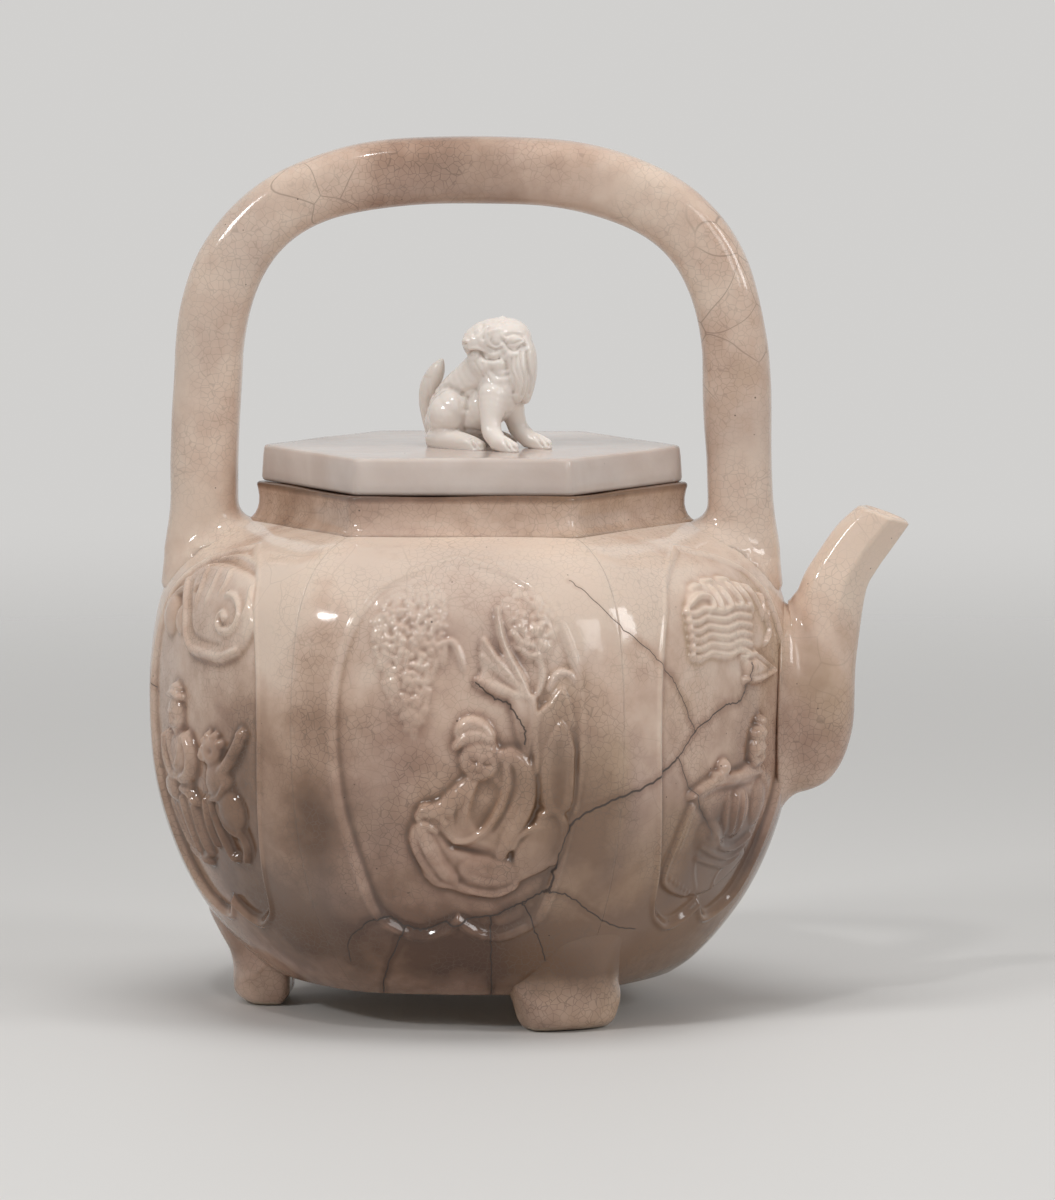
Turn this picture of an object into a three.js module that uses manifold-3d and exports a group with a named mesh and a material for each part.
// A hexagonal melon-lobed porcelain teapot with an arched overhead handle, a swan-neck spout, three
// bracket feet and a hexagonal cover crowned by a seated lion.
//
// The potter's pieces are modelled as they were pressed and luted together with slip: six wall panels
// round a floor slab, a hexagonal collar, spout, handle and feet, and the cover's slab, locating
// flange and lion. Millimetres, +Z up. The origin is on the table, on the pot's own axis. The spout
// points along +X and the handle stands in the XZ plane.
import * as THREE from "three";
import { mergeVertices } from "three/addons/utils/BufferGeometryUtils.js";
import Module from "manifold-3d";

const wasm = await Module();
wasm.setup();

// Driving dimensions, in millimetres and degrees.
const LUTE_GAP = 0.3; // slip joint between two luted pieces
const WALL = 4.5; // thickness of the pressed wall
const BASE_Z = 8; // underside of the floor slab above the table
const FLOOR_THICKNESS = 5;
const SHOULDER_Z = 112; // flat seat of the collar on the shoulder
const BASE_RADIUS = 46.5; // at a corner of the hexagon, as all body radii
const BELLY_RADIUS = 74.5;
const NECK_RADIUS = 50;
const SIDES = 6;
const SECTOR = 360 / SIDES;
const BELLY_HEXNESS = 0.34; // 0 is a round body, 1 a hexagonal one
const HEX_START_Z = 96; // above this the belly turns into the hexagonal neck

const FRAME_DEPTH = 1.2; // how far a panel's field is sunk below the wall
const FRAME_LIP = 0.5; // the raised bead round the field
const FRAME_SLOPE = 1.6; // width of the slope from the bead down to the field
const FIELD_CROWN = 0.5; // the field bulges back towards its middle
const RELIEF_RISE = 2.6; // the highest figure above the field
const RELIEF_ROOT = 1; // how deep a figure goes into the field

const COLLAR_HEIGHT = 8.7;
const COLLAR_RIM_RADIUS = 49.7;
const COLLAR_WAIST_RADIUS = 48.9;
const COLLAR_THICKNESS = 4.4;

const CORNER_ROUNDING = 3; // of the collar and the cover, seen from above

const LID_RADIUS = 48.3;
const LID_THICKNESS = 8.5;
const LID_EDGE = 1.2; // rounding of the slab's upper edge
const FLANGE_CLEARANCE = 1.0;
const FLANGE_DEPTH = 6.5;
const FLANGE_THICKNESS = 4;

const HANDLE_ROOT = 18; // how far below the shoulder a leg is carried into the wall
const HANDLE_CLEARANCE = 1.5; // a foot keeps this far inside the shoulder's two edges
const HANDLE_LEAN = 1.8; // how far a leg leans in on its way up
const HANDLE_SPRING_Z = 150; // where the legs start to turn into the bow
const HANDLE_CROWN_Z = 192.6; // middle of the bar at the top
const HANDLE_WIDTH = 15.4; // in the plane of the bow
const HANDLE_DEPTH = 14.4; // across it
const HANDLE_FOOT_WIDTH = 19; // the legs thicken where they are luted on

const SPOUT_ROOT_Z = 47.5; // lowest point of the root on the wall
const SPOUT_TIP_Z = 115.3; // upper lip of the mouth
const SPOUT_REACH = 26.2; // from the belly out to the lower lip
const SPOUT_WALL = 2.3;
const SPOUT_ROOT_HALF_WIDTH = 12;
const SPOUT_TIP_HALF_WIDTH = 5.9;
const STRAINER_HOLE_RADIUS = 2;
const STRAINER_ROWS = 4;
const STRAINER_PITCH = 8;
const STRAINER_LOW_Z = 57;
const STRAINER_OFFSET = 4.5; // from the seam to each column of holes

const FOOT_OVERHANG = 2; // from the base's corner out to the middle of a foot
const FOOT_TOP_WIDTH = 30;
const FOOT_SOLE_WIDTH = 20;
const FOOT_THICKNESS = 11;

const LION_HEIGHT = 28.6;
const LION_TURN = 36; // it faces this far round from the spout towards the front
const LION_FORWARD = 8; // it sits this far in front of the cover's middle

// The outer profile at a corner, from the base edge to the collar's seat. Each station is a share of
// the way out from the base or the neck to the belly, and a share of the wall's height.
const LOWER_STATIONS = [
  [0, 0],
  [0.179, 0.034],
  [0.411, 0.101],
  [0.643, 0.192],
  [0.832, 0.308],
  [0.957, 0.442],
  [1, 0.596],
];
const UPPER_STATIONS = [
  [0.963, 0.731],
  [0.857, 0.846],
  [0.633, 0.928],
  [0.306, 0.984],
  [0, 1],
];
const stationPoint = (from, [share, rise]) =>
  new THREE.Vector2(
    from + share * (BELLY_RADIUS - from),
    BASE_Z + rise * (SHOULDER_Z - BASE_Z),
  );
const PROFILE = new THREE.SplineCurve([
  ...LOWER_STATIONS.map((station) => stationPoint(BASE_RADIUS, station)),
  ...UPPER_STATIONS.map((station) => stationPoint(NECK_RADIUS, station)),
]);
PROFILE.arcLengthDivisions = 400;
const PROFILE_LENGTH = PROFILE.getLength();
const PANEL_HALF_WIDTH = (BELLY_RADIUS * Math.PI) / SIDES;

// One half of a panel's outline: an arched top, swelling sides, and two lobes that meet in a cusp at
// the bottom. Each point is a share of the panel's half width and of the wall's length.
const HALF_OUTLINE = new THREE.SplineCurve(
  [
    [0, 0.909],
    [0.372, 0.86],
    [0.559, 0.809],
    [0.692, 0.705],
    [0.736, 0.585],
    [0.708, 0.44],
    [0.62, 0.304],
    [0.551, 0.22],
    [0.423, 0.186],
    [0.282, 0.17],
    [0.133, 0.188],
    [0, 0.235],
  ].map(
    ([across, along]) =>
      new THREE.Vector2(across * PANEL_HALF_WIDTH, along * PROFILE_LENGTH),
  ),
);
const FIELD_MIDDLE = 0.53 * PROFILE_LENGTH; // the panel's rings shrink to this point up the wall

const radians = THREE.MathUtils.degToRad;
const unit = (angle) => new THREE.Vector2(Math.cos(angle), Math.sin(angle));

// Solids are built as stacks of rings, and joined or cut as manifold solids.
function solidOf(geometry) {
  const bare = geometry.clone();
  bare.deleteAttribute("normal");
  bare.deleteAttribute("uv");
  const merged = mergeVertices(bare, 1e-4);
  return new wasm.Manifold(
    new wasm.Mesh({
      numProp: 3,
      vertProperties: new Float32Array(merged.attributes.position.array),
      triVerts: new Uint32Array(merged.index.array),
    }),
  );
}

function geometryOf(solid) {
  const mesh = solid.getMesh();
  const corners = new Float32Array(mesh.numVert * 3);
  for (let i = 0; i < mesh.numVert; i++)
    corners.set(
      mesh.vertProperties.subarray(i * mesh.numProp, i * mesh.numProp + 3),
      i * 3,
    );
  return new THREE.BufferGeometry()
    .setAttribute("position", new THREE.BufferAttribute(corners, 3))
    .setIndex(new THREE.BufferAttribute(new Uint32Array(mesh.triVerts), 1));
}

const middleOf = (ring) =>
  ring
    .reduce((sum, p) => sum.add(p), new THREE.Vector3())
    .divideScalar(ring.length);

// A closed skin through rings of equal length, with each end closed by a fan. Rings run
// anticlockwise seen from the last ring. With joined set, the last ring meets the first instead.
function skin(rings, joined = false) {
  const count = rings[0].length;
  const corners = rings.flat();
  const faces = [];
  const last = joined ? rings.length : rings.length - 1;
  for (let i = 0; i < last; i++)
    for (let j = 0; j < count; j++) {
      const low = i * count;
      const high = ((i + 1) % rings.length) * count;
      const next = (j + 1) % count;
      faces.push([low + j, low + next, high + next]);
      faces.push([low + j, high + next, high + j]);
    }
  if (!joined) {
    const top = (rings.length - 1) * count;
    corners.push(middleOf(rings[0]), middleOf(rings.at(-1)));
    for (let j = 0; j < count; j++) {
      const next = (j + 1) % count;
      faces.push([next, j, corners.length - 2]);
      faces.push([top + j, top + next, corners.length - 1]);
    }
  }
  const geometry = new THREE.BufferGeometry().setFromPoints(corners);
  geometry.setIndex(faces.flat());
  return geometry;
}

// A rounded box outline: a power of 2 is an ellipse, and larger powers are squarer.
function superellipse(halfWidth, halfDepth, power, count) {
  return Array.from({ length: count }, (_, i) => {
    const { x, y } = unit((2 * Math.PI * (i + 0.5)) / count);
    const round = (v) => Math.sign(v) * Math.abs(v) ** (2 / power);
    return new THREE.Vector2(halfWidth * round(x), halfDepth * round(y));
  });
}

// The body's section: a circle drawn towards a hexagon. The angle is measured from a panel's middle.
function sectionShare(angle, hexness) {
  const flat = Math.cos(radians(SECTOR / 2)) / Math.cos(angle);
  return 1 + (flat - 1) * hexness;
}

function hexnessAt(z) {
  const share = (z - HEX_START_Z) / (SHOULDER_Z - HEX_START_Z);
  const eased = THREE.MathUtils.clamp(share, 0, 1) ** 1.5;
  return BELLY_HEXNESS + (1 - BELLY_HEXNESS) * eased;
}

// A point of the wall: the angle from the panel's middle, the distance up the wall, and how far the
// point lies out from the wall's outer face.
function wallPoint(angle, along, out) {
  const t = THREE.MathUtils.clamp(along / PROFILE_LENGTH, 0, 1);
  const p = PROFILE.getPointAt(t);
  const slope = PROFILE.getTangentAt(t);
  const share = sectionShare(angle, hexnessAt(p.y));
  const radius = p.x * share + slope.y * out;
  const height = p.y - slope.x * out;
  const { x, y } = unit(angle);
  return new THREE.Vector3(radius * x, radius * y, height);
}

// The body without hollow or panels, grown or shrunk, to cut what is luted onto it.
function bodyEnvelope(grow) {
  const rows = 26;
  const columns = 8 * SIDES;
  const rings = Array.from({ length: rows + 1 }, (_, row) =>
    Array.from({ length: columns }, (_, column) => {
      const turn = (360 * column) / columns;
      const local = radians((turn % SECTOR) - SECTOR / 2);
      const p = wallPoint(local, (PROFILE_LENGTH * row) / rows, grow);
      return p.applyAxisAngle(
        new THREE.Vector3(0, 0, 1),
        radians(turn) - local,
      );
    }),
  );
  return solidOf(skin(rings));
}

// How far the outline lies from the panel's middle in a direction.
const OUTLINE_RAYS = HALF_OUTLINE.getPoints(160).map((p) => {
  const ray = new THREE.Vector2(p.x, p.y - FIELD_MIDDLE);
  return { turn: Math.atan2(ray.x, ray.y), reach: ray.length() };
});

function outlineReach(across, along) {
  const turn = Math.atan2(Math.abs(across), along - FIELD_MIDDLE);
  const after = OUTLINE_RAYS.findIndex((ray) => ray.turn >= turn);
  const b = OUTLINE_RAYS.at(after);
  const a = OUTLINE_RAYS[Math.max(after - 1, 0)];
  if (after < 1) return b.reach;
  const share = (turn - a.turn) / (b.turn - a.turn);
  return a.reach + share * (b.reach - a.reach);
}

// The edge of a panel, clockwise from its top left corner, as [share of half width, distance along].
function panelEdge() {
  const edge = [];
  const acrossSteps = 8;
  const alongSteps = 10;
  const span = (i, steps) => (2 * i) / steps - 1;
  const climb = (i) => (PROFILE_LENGTH * i) / alongSteps;
  for (let i = 0; i < acrossSteps; i++)
    edge.push([span(i, acrossSteps), PROFILE_LENGTH]);
  for (let i = 0; i < alongSteps; i++)
    edge.push([1, PROFILE_LENGTH - climb(i)]);
  for (let i = 0; i < acrossSteps; i++) edge.push([-span(i, acrossSteps), 0]);
  for (let i = 0; i < alongSteps; i++) edge.push([-1, climb(i)]);
  return edge;
}

// A point of the panel at a share of its half width, kept half a joint away from the seam.
function panelPoint(share, along, out) {
  const radius = wallPoint(0, along, out).x;
  const limit = radians(SECTOR / 2) - Math.asin(LUTE_GAP / 2 / radius);
  return wallPoint(share * limit, along, out);
}

// A point on the flat seat, the foot or the lips of the panel, at a corner radius and a height.
function lipPoint(share, radius, z) {
  const limit = radians(SECTOR / 2) - Math.asin(LUTE_GAP / 2 / radius);
  const angle = share * limit;
  const hexness = z > HEX_START_Z ? 1 : BELLY_HEXNESS;
  const { x, y } = unit(angle).multiplyScalar(
    radius * sectionShare(angle, hexness),
  );
  return new THREE.Vector3(x, y, z);
}

// The masses of the moulded scenes, each [across, along, half width, half length, rise, turn in
// degrees] in shares of the panel's half width and length and of the deepest relief. A figure sits
// by rocks under hanging foliage; a figure stands with a curled beast below a cloud; and a figure
// leans on a rock below a swirling cloud.
const SCENES = {
  seated: [
    [0.13, 0.545, 0.14, 0.064, 0.92, -15],
    [0.23, 0.437, 0.26, 0.088, 0.73, 0],
    [0.17, 0.317, 0.24, 0.036, 1, -8],
    [-0.15, 0.361, 0.12, 0.072, 0.88, 35],
    [0.49, 0.361, 0.19, 0.076, 0.65, 0],
    [0.61, 0.545, 0.12, 0.136, 0.58, 0],
    [-0.28, 0.713, 0.22, 0.136, 0.58, 0],
    [0.4, 0.745, 0.22, 0.096, 0.54, 0],
  ],
  standing: [
    [0.18, 0.765, 0.49, 0.076, 0.62, 0],
    [-0.49, 0.745, 0.14, 0.04, 0.58, 0],
    [-0.26, 0.553, 0.15, 0.06, 0.92, 0],
    [-0.24, 0.457, 0.28, 0.064, 0.85, 0],
    [0.24, 0.481, 0.19, 0.06, 0.85, 0],
    [0.36, 0.401, 0.21, 0.048, 0.85, 0],
  ],
  leaning: [
    [0.03, 0.753, 0.44, 0.072, 0.62, 0],
    [0.24, 0.654, 0.23, 0.028, 0.62, 0],
    [0.29, 0.489, 0.13, 0.048, 0.92, 0],
    [0, 0.441, 0.38, 0.036, 0.58, 0],
    [0.08, 0.381, 0.21, 0.052, 0.96, 0],
    [-0.13, 0.296, 0.36, 0.068, 0.58, 0],
  ],
};

// A scene's masses on a panel built round +X.
function sceneMasses(scene) {
  return scene.map(([share, climb, halfWidth, halfLength, rise, turn]) => {
    const along = climb * PROFILE_LENGTH;
    const foot = panelPoint(share, along, FIELD_CROWN / 2 - FRAME_DEPTH);
    const out = panelPoint(share, along, 1).sub(panelPoint(share, along, 0));
    const up = panelPoint(share, along + 1, 0).sub(panelPoint(share, along, 0));
    const side = up.clone().cross(out).normalize();
    const frame = new THREE.Matrix4().makeBasis(side, up.normalize(), out);
    const mass = new THREE.SphereGeometry(1, 8, 4);
    mass.rotateX(Math.PI / 2);
    mass.scale(
      halfWidth * PANEL_HALF_WIDTH,
      halfLength * PROFILE_LENGTH,
      rise * RELIEF_RISE + RELIEF_ROOT,
    );
    mass.translate(0, 0, -RELIEF_ROOT);
    mass.rotateZ(radians(turn));
    mass.applyMatrix4(frame).translate(foot.x, foot.y, foot.z);
    return solidOf(mass);
  });
}

// One sixth of the body wall, with the sunken petal-shaped field and its bead. Built round +X.
function wallPanel(grow = 0) {
  const edge = panelEdge();
  const floorZ = BASE_Z + FLOOR_THICKNESS;
  const throat = COLLAR_WAIST_RADIUS - COLLAR_THICKNESS;
  const atReach = (share, beyond, out) =>
    edge.map(([across, along]) => {
      const ray = new THREE.Vector2(
        across * PANEL_HALF_WIDTH,
        along - FIELD_MIDDLE,
      );
      const reach = outlineReach(ray.x, along) * share + beyond;
      const p = ray.setLength(reach);
      return panelPoint(p.x / PANEL_HALF_WIDTH, p.y + FIELD_MIDDLE, out + grow);
    });
  const towardsEdge = (share, out, scale = 1) =>
    edge.map(([across, along]) => {
      const ray = new THREE.Vector2(
        across * PANEL_HALF_WIDTH,
        along - FIELD_MIDDLE,
      );
      const inside = outlineReach(ray.x, along) + 2 * FRAME_SLOPE;
      const reach = THREE.MathUtils.lerp(inside, ray.length(), share) * scale;
      const p = ray.setLength(reach);
      return panelPoint(p.x / PANEL_HALF_WIDTH, p.y + FIELD_MIDDLE, out);
    });
  const onSide = ([across]) => Math.abs(across) === 1;
  const isEnd = ([, along]) => along === 0 || along === PROFILE_LENGTH;
  const outer = towardsEdge(1, grow);
  const inner = edge.map((point) => {
    const [across, along] = point;
    if (along === PROFILE_LENGTH)
      return lipPoint(across, throat, SHOULDER_Z - WALL);
    if (along === 0) return lipPoint(across, BASE_RADIUS - WALL * 0.7, floorZ);
    return panelPoint(across, along, -WALL);
  });
  const brink = edge.map((point, i) => {
    const [across, along] = point;
    if (along === PROFILE_LENGTH) return lipPoint(across, throat, SHOULDER_Z);
    if (along === 0) return lipPoint(across, BASE_RADIUS - WALL * 0.7, BASE_Z);
    return outer[i].clone().lerp(inner[i], 0.5);
  });
  const inside = (share) =>
    edge.map(([across, along]) => {
      const up = FIELD_MIDDLE + (along - FIELD_MIDDLE) * share;
      return panelPoint(across * share, up, -WALL);
    });
  const rings = [
    atReach(0.35, 0, FIELD_CROWN - FRAME_DEPTH),
    atReach(0.7, 0, FIELD_CROWN * 0.5 - FRAME_DEPTH),
    atReach(1, -FRAME_SLOPE / 2, -FRAME_DEPTH),
    atReach(1, FRAME_SLOPE / 2, FRAME_LIP),
    atReach(1, 2 * FRAME_SLOPE, 0),
    towardsEdge(0.5, grow),
    outer,
    brink,
    inner,
    inside(0.88),
    inside(0.5),
  ];
  return skin(rings);
}

// A hexagonal loop with rounded corners. The radius reaches the outside of a rounded corner.
function hexLoop(radius, z, rounding = CORNER_ROUNDING) {
  const loop = [];
  for (let corner = 0; corner < SIDES; corner++)
    for (const turn of [-30, -10, 10, 30]) {
      const centre = unit(radians(corner * SECTOR)).multiplyScalar(
        radius - rounding,
      );
      const p = unit(radians(corner * SECTOR + turn)).multiplyScalar(rounding);
      loop.push(new THREE.Vector3(centre.x + p.x, centre.y + p.y, z));
    }
  return loop;
}

const THROAT_RADIUS = COLLAR_WAIST_RADIUS - COLLAR_THICKNESS;
const RIM_Z = SHOULDER_Z + COLLAR_HEIGHT;
const LID_TOP_Z = RIM_Z + LID_THICKNESS;

function neckCollar() {
  const loop = (radius, rise, rounding) =>
    hexLoop(radius, SHOULDER_Z + rise, rounding);
  const edge = 0.8;
  const rings = [
    loop(COLLAR_RIM_RADIUS - 0.1, 0),
    loop(COLLAR_WAIST_RADIUS + 0.1, 1.6),
    loop(COLLAR_WAIST_RADIUS, COLLAR_HEIGHT * 0.4),
    loop(COLLAR_RIM_RADIUS, COLLAR_HEIGHT - edge),
    loop(COLLAR_RIM_RADIUS - edge, COLLAR_HEIGHT),
    loop(THROAT_RADIUS + edge, COLLAR_HEIGHT, 2),
    loop(THROAT_RADIUS, COLLAR_HEIGHT - edge, 1.5),
    loop(THROAT_RADIUS, 0, 1.5),
  ];
  return solidOf(skin(rings, true));
}

function lidPlate() {
  const edge = LID_EDGE;
  return solidOf(
    skin([
      hexLoop(LID_RADIUS - edge, RIM_Z),
      hexLoop(LID_RADIUS - 0.3 * edge, RIM_Z + 0.3 * edge),
      hexLoop(LID_RADIUS, RIM_Z + edge),
      hexLoop(LID_RADIUS - 0.5, LID_TOP_Z - edge),
      hexLoop(LID_RADIUS - 0.5 - 0.3 * edge, LID_TOP_Z - 0.3 * edge),
      hexLoop(LID_RADIUS - 0.5 - edge, LID_TOP_Z),
    ]),
  );
}

function lidFlange() {
  const radius = THROAT_RADIUS - FLANGE_CLEARANCE;
  const low = RIM_Z - FLANGE_DEPTH;
  const inner = radius - FLANGE_THICKNESS;
  const rings = [
    hexLoop(radius - 1, low, 1.5),
    hexLoop(radius, low + 1, 1.5),
    hexLoop(radius, RIM_Z, 1.5),
    hexLoop(inner, RIM_Z, 1),
    hexLoop(inner, low + 0.6, 1),
    hexLoop(inner + 0.6, low, 1),
  ];
  return solidOf(skin(rings, true));
}

function floorSlab() {
  const radius = BASE_RADIUS - WALL * 0.7 - LUTE_GAP;
  const loop = (z) =>
    Array.from({ length: 8 * SIDES }, (_, i) => {
      const turn = (360 * i) / (8 * SIDES);
      const local = radians((turn % SECTOR) - SECTOR / 2);
      const { x, y } = unit(radians(turn)).multiplyScalar(
        radius * sectionShare(local, BELLY_HEXNESS),
      );
      return new THREE.Vector3(x, y, z);
    });
  return solidOf(skin([loop(BASE_Z), loop(BASE_Z + FLOOR_THICKNESS)]));
}

// A ring of section points round a centre, in the plane of two axes.
function sectionRing(centre, across, depth, power, count) {
  return superellipse(1, 1, power, count).map(({ x, y }) =>
    centre.clone().addScaledVector(across, x).addScaledVector(depth, y),
  );
}

function handleBow() {
  const footZ = SHOULDER_Z - HANDLE_ROOT;
  const room = BELLY_RADIUS - NECK_RADIUS - 2 * HANDLE_CLEARANCE;
  const footWidth = Math.min(HANDLE_FOOT_WIDTH, room);
  const at = (x, z) => new THREE.Vector3(x, 0, z);
  const footX = (BELLY_RADIUS + NECK_RADIUS) / 2;
  const springX = footX - HANDLE_LEAN;
  const spring = at(springX, HANDLE_SPRING_Z);
  const leg = new THREE.LineCurve3(at(footX, footZ), spring);
  const rise = HANDLE_CROWN_Z - HANDLE_SPRING_Z;
  const bow = new THREE.CubicBezierCurve3(
    spring,
    at(springX * 0.95, HANDLE_SPRING_Z + rise * 0.8),
    at(springX * 0.61, HANDLE_CROWN_Z),
    at(0, HANDLE_CROWN_Z),
  );
  const stations = (curve, steps, from) =>
    Array.from({ length: steps }, (_, i) => ({
      p: curve.getPoint((i + from) / steps),
      t: curve.getTangent((i + from) / steps),
    }));
  const right = [...stations(leg, 5, 0), ...stations(bow, 11, 0)];
  const crown = { p: at(0, HANDLE_CROWN_Z), t: at(-1, 0) };
  const left = right.toReversed().map(({ p, t }) => ({
    p: at(-p.x, p.z),
    t: at(t.x, -t.z),
  }));
  const rings = [...right, crown, ...left].map(({ p, t }) => {
    const flare = THREE.MathUtils.smoothstep(SHOULDER_Z + 6 - p.z, 0, 14);
    const width = THREE.MathUtils.lerp(HANDLE_WIDTH, footWidth, flare);
    const outward = at(t.z, -t.x).setLength(width / 2);
    const sideways = new THREE.Vector3(0, HANDLE_DEPTH / 2, 0);
    return sectionRing(p, outward, sideways, 3, 12);
  });
  return solidOf(skin(rings)).subtract(bodyEnvelope(LUTE_GAP));
}

// The spout's two edges seen from the side, as shares of its reach out from the belly and of its
// height. Points with the same place in both lists face each other across the spout.
const SPOUT_INNER_EDGE = [
  [-0.286, 0.597],
  [-0.042, 0.634],
  [-0.023, 0.656],
  [-0.008, 0.674],
  [0.011, 0.704],
  [0.076, 0.767],
  [0.168, 0.826],
  [0.359, 0.932],
  [0.546, 1],
];
const SPOUT_OUTER_EDGE = [
  [-0.286, 0],
  [0, 0.019],
  [0.324, 0.081],
  [0.496, 0.236],
  [0.531, 0.479],
  [0.607, 0.699],
  [0.702, 0.782],
  [0.836, 0.857],
  [1, 0.938],
];
function spoutEdge(shares) {
  const points = shares.map(([out, rise]) => {
    const x = BELLY_RADIUS + out * SPOUT_REACH;
    const z = THREE.MathUtils.lerp(SPOUT_ROOT_Z, SPOUT_TIP_Z, rise);
    return new THREE.Vector3(x, 0, z);
  });
  return new THREE.CatmullRomCurve3(points, false, "centripetal");
}

// The spout's outside, or its bore when inset by the wall.
function spoutTube(inset, steps, count) {
  const innerEdge = spoutEdge(SPOUT_INNER_EDGE);
  const outerEdge = spoutEdge(SPOUT_OUTER_EDGE);
  const rings = [];
  for (let i = 0; i <= steps; i++) {
    const t = i / steps;
    const a = innerEdge.getPoint(t);
    const b = outerEdge.getPoint(t);
    const reach = b.clone().sub(a).multiplyScalar(0.5);
    const across = reach.setLength(reach.length() - inset);
    const half = THREE.MathUtils.lerp(
      SPOUT_ROOT_HALF_WIDTH,
      SPOUT_TIP_HALF_WIDTH,
      t,
    );
    const sideways = new THREE.Vector3(0, half - inset, 0);
    rings.push(sectionRing(a.lerp(b, 0.5), across, sideways, 2.3, count));
  }
  if (inset > 0) {
    const beyond = rings.at(-1).map((p, j) => {
      const before = rings.at(-2)[j];
      return p.clone().add(p.clone().sub(before).setLength(2));
    });
    rings.push(beyond);
  }
  return solidOf(skin(rings));
}

function spout(neighbours) {
  const outside = spoutTube(0, 15, 12);
  const bore = spoutTube(SPOUT_WALL, 11, 10);
  return neighbours.reduce(
    (solid, other) => solid.subtract(other),
    outside.subtract(bore).subtract(bodyEnvelope(LUTE_GAP)),
  );
}

// The holes behind the spout, seen from a panel that is turned away from it.
function strainerHoles(turn) {
  const holes = [];
  for (let row = 0; row < STRAINER_ROWS; row++)
    for (const side of [-1, 1]) {
      const pin = new THREE.CylinderGeometry(
        STRAINER_HOLE_RADIUS,
        STRAINER_HOLE_RADIUS,
        BELLY_RADIUS * 0.4,
        10,
      );
      pin.rotateZ(Math.PI / 2);
      const z = STRAINER_LOW_Z + row * STRAINER_PITCH;
      pin.translate(BELLY_RADIUS, side * STRAINER_OFFSET, z);
      pin.rotateZ(-turn);
      holes.push(solidOf(pin));
    }
  return wasm.Manifold.union(holes);
}

// A bracket foot under the edge of the base, built round +X: [height, outer reach, half width].
function foot() {
  const stations = [
    [0, 0.4, 0.83],
    [0.1, 0.54, 0.93],
    [0.25, 0.76, 1],
    [0.51, 0.92, 1.12],
    [0.74, 0.97, 1.3],
    [1, 1.1, 1.5],
  ];
  const footRadius = BASE_RADIUS + FOOT_OVERHANG;
  const height = BASE_Z + FLOOR_THICKNESS;
  const rings = stations.map(([rise, reach, spread]) => {
    const outer = footRadius + (reach * FOOT_THICKNESS) / 2;
    const inner = footRadius - FOOT_THICKNESS / 2 + 1 - Math.min(rise * 4, 1);
    const centre = new THREE.Vector3((outer + inner) / 2, 0, rise * height);
    const across = new THREE.Vector3((outer - inner) / 2, 0, 0);
    const width = Math.min((FOOT_SOLE_WIDTH / 2) * spread, FOOT_TOP_WIDTH / 2);
    return sectionRing(centre, across, new THREE.Vector3(0, width, 0), 3.4, 16);
  });
  return solidOf(skin(rings)).subtract(bodyEnvelope(LUTE_GAP));
}

// The lion's lumps, each [x, y, z, three radii] above the cover, in units of its height, with the
// beast facing +X. It sits on its haunches, forelegs out in front, and looks back over its shoulder.
const LION_SIDES = { near: -1, far: 1 };
const foreleg = (side) => [
  [0.3, side * 0.12, 0.38, 0.12, 0.11, 0.2],
  [0.355, side * 0.175, 0.17, 0.085, 0.08, 0.18],
  [0.53, side * 0.21, 0.045, 0.14, 0.065, 0.06],
];
const hindquarter = (side) => [
  [-0.11, side * 0.13, 0.23, 0.19, 0.15, 0.2],
  [0.01, side * 0.21, 0.05, 0.25, 0.075, 0.07],
];
const LION_LUMPS = {
  body: [
    [-0.2, 0, 0.22, 0.19, 0.2, 0.22],
    [-0.06, 0, 0.4, 0.2, 0.18, 0.21],
    [0.12, 0, 0.49, 0.2, 0.18, 0.24],
    [0.24, 0, 0.35, 0.2, 0.17, 0.27],
    ...hindquarter(LION_SIDES.near),
    ...hindquarter(LION_SIDES.far),
  ],
  head: [
    [0.295, 0.028, 0.8, 0.2, 0.2, 0.19],
    [0.199, -0.059, 0.85, 0.13, 0.13, 0.125],
    [0.137, -0.117, 0.8, 0.115, 0.115, 0.12],
    [0.233, -0.047, 0.65, 0.15, 0.14, 0.12],
    [0.42, 0.13, 0.66, 0.12, 0.15, 0.25],
    [0.47, 0.01, 0.5, 0.075, 0.075, 0.16],
    [0.48, -0.03, 0.81, 0.065, 0.065, 0.075],
    [0.315, 0.042, 0.96, 0.07, 0.07, 0.06],
  ],
  tail: [
    [-0.42, 0, 0.12, 0.065, 0.07, 0.16],
    [-0.465, 0, 0.33, 0.07, 0.075, 0.17],
    [-0.435, 0, 0.49, 0.075, 0.08, 0.14],
    [-0.35, 0, 0.61, 0.07, 0.07, 0.095],
  ],
  near: foreleg(LION_SIDES.near),
  far: foreleg(LION_SIDES.far),
};

function lionPart(name, grow = 0) {
  const lumps = LION_LUMPS[name].map(([x, y, z, rx, ry, rz]) => {
    const small = Math.max(rx, ry, rz) < 0.17;
    const lump = new THREE.SphereGeometry(1, small ? 7 : 8, small ? 4 : 5);
    const h = LION_HEIGHT;
    lump.rotateX(Math.PI / 2);
    lump.scale(rx * h + grow, ry * h + grow, rz * h + grow);
    lump.translate(x * h, y * h, LID_TOP_Z + z * h);
    lump.rotateZ(-radians(LION_TURN));
    lump.translate(0, -LION_FORWARD, 0);
    return solidOf(lump);
  });
  const under = new THREE.BoxGeometry(2 * LID_RADIUS, 2 * LID_RADIUS, LION_HEIGHT);
  under.translate(0, 0, LID_TOP_Z - LION_HEIGHT / 2);
  const joined = wasm.Manifold.union(lumps);
  return grow > 0 ? joined : joined.subtract(solidOf(under));
}

function cutFrom(name, neighbours) {
  return neighbours.reduce(
    (solid, other) => solid.subtract(lionPart(other, LUTE_GAP)),
    lionPart(name),
  );
}

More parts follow.
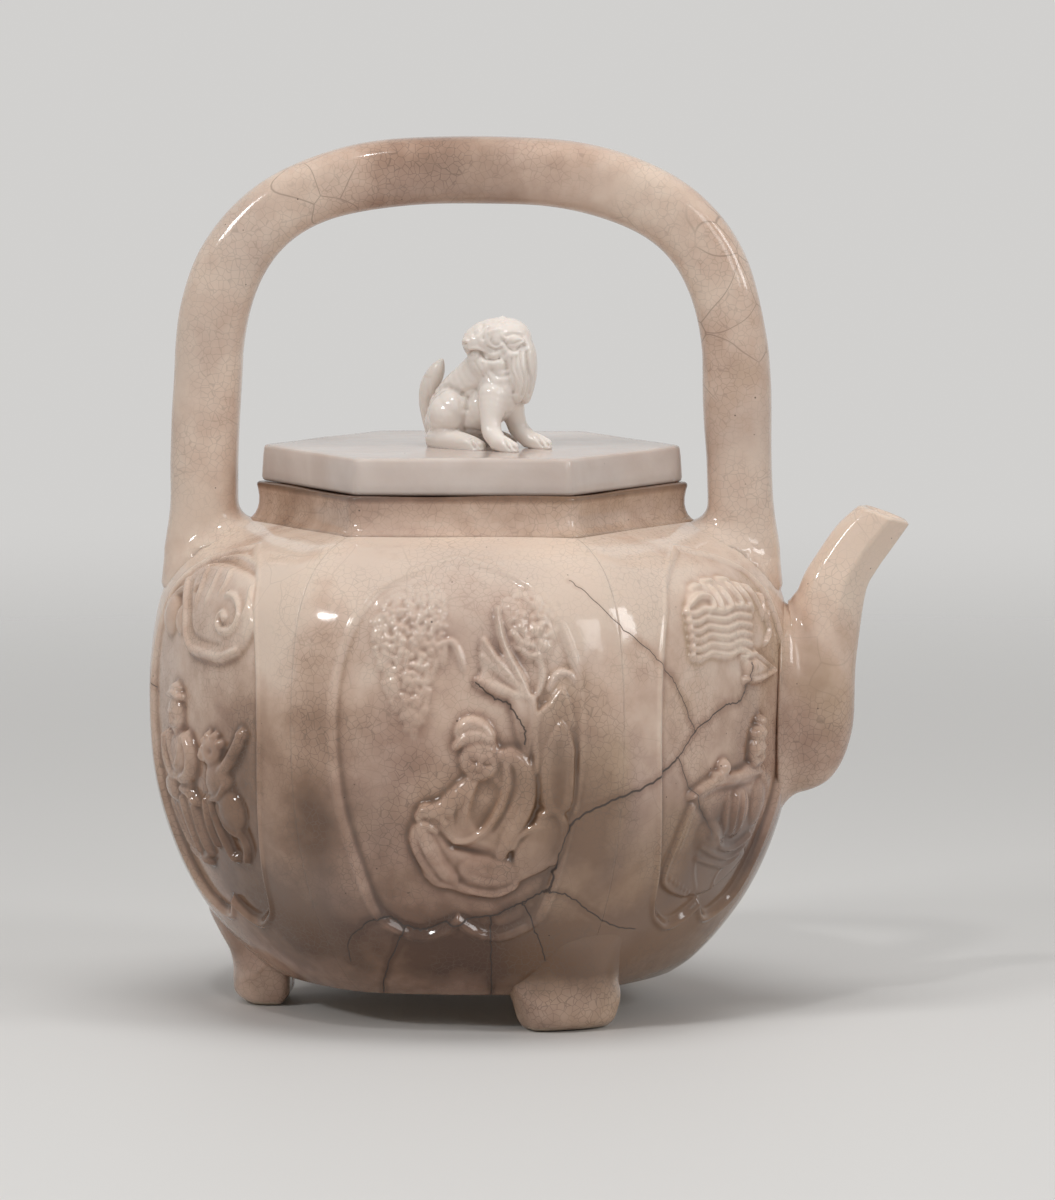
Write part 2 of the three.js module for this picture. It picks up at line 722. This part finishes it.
const glaze = new THREE.MeshStandardMaterial({
  name: "ivory_glaze",
  color: "#d9cbb4",
  roughness: 0.2,
});
const coverGlaze = new THREE.MeshStandardMaterial({
  name: "cover_glaze",
  color: "#e4dccd",
  roughness: 0.2,
});

const group = new THREE.Group();
group.name = "porcelain_teapot";
const pot = new THREE.Group();
pot.name = "pot";
const cover = new THREE.Group();
cover.name = "cover";
group.add(pot, cover);

// Adds a piece to the pot or the cover, turned about the upright axis.
function add(parent, name, geometry, turn = 0) {
  const mesh = new THREE.Mesh(geometry, parent === pot ? glaze : coverGlaze);
  mesh.name = name;
  mesh.rotation.z = radians(turn);
  parent.add(mesh);
}

// Each panel's place round the axis, in sectors, and its scene: three scenes, used twice.
const PANELS = {
  wall_panel_front: [-1.5, "seated"],
  wall_panel_front_right: [-0.5, "leaning"],
  wall_panel_back_right: [0.5, "standing"],
  wall_panel_back: [1.5, "seated"],
  wall_panel_back_left: [2.5, "leaning"],
  wall_panel_front_left: [-2.5, "standing"],
};
for (const [name, [place, scene]] of Object.entries(PANELS)) {
  const turn = place * SECTOR;
  const moulded = wasm.Manifold.union([
    solidOf(wallPanel()),
    ...sceneMasses(SCENES[scene]),
  ]);
  const pierced =
    Math.abs(place) < 1
      ? moulded.subtract(strainerHoles(radians(turn)))
      : moulded;
  add(pot, name, geometryOf(pierced), turn);
}
const besideSpout = [-SECTOR / 2, SECTOR / 2].map((turn) =>
  solidOf(wallPanel(LUTE_GAP).rotateZ(radians(turn))),
);
add(pot, "base_plate", geometryOf(floorSlab()));
add(pot, "neck_collar", geometryOf(neckCollar()));
add(pot, "spout", geometryOf(spout(besideSpout)));
add(pot, "handle", geometryOf(handleBow()));
add(pot, "foot_left", geometryOf(foot()), 180);
add(pot, "foot_front", geometryOf(foot()), -SECTOR);
add(pot, "foot_back", geometryOf(foot()), SECTOR);
add(cover, "lid_plate", geometryOf(lidPlate()));
add(cover, "lid_flange", geometryOf(lidFlange()));
add(cover, "lion_body", geometryOf(cutFrom("body", [])));
add(cover, "lion_head", geometryOf(cutFrom("head", ["body"])));
add(cover, "lion_tail", geometryOf(cutFrom("tail", ["body"])));
for (const side of ["near", "far"]) {
  const leg = cutFrom(side, ["body", "head"]);
  add(cover, `lion_foreleg_${side}`, geometryOf(leg));
}

// The origin goes on the table, under the middle of the whole teapot, spout included.
const middle = new THREE.Box3().setFromObject(group, true).getCenter(new THREE.Vector3());
for (const half of [pot, cover]) half.position.set(-middle.x, -middle.y, 0);

export default group;
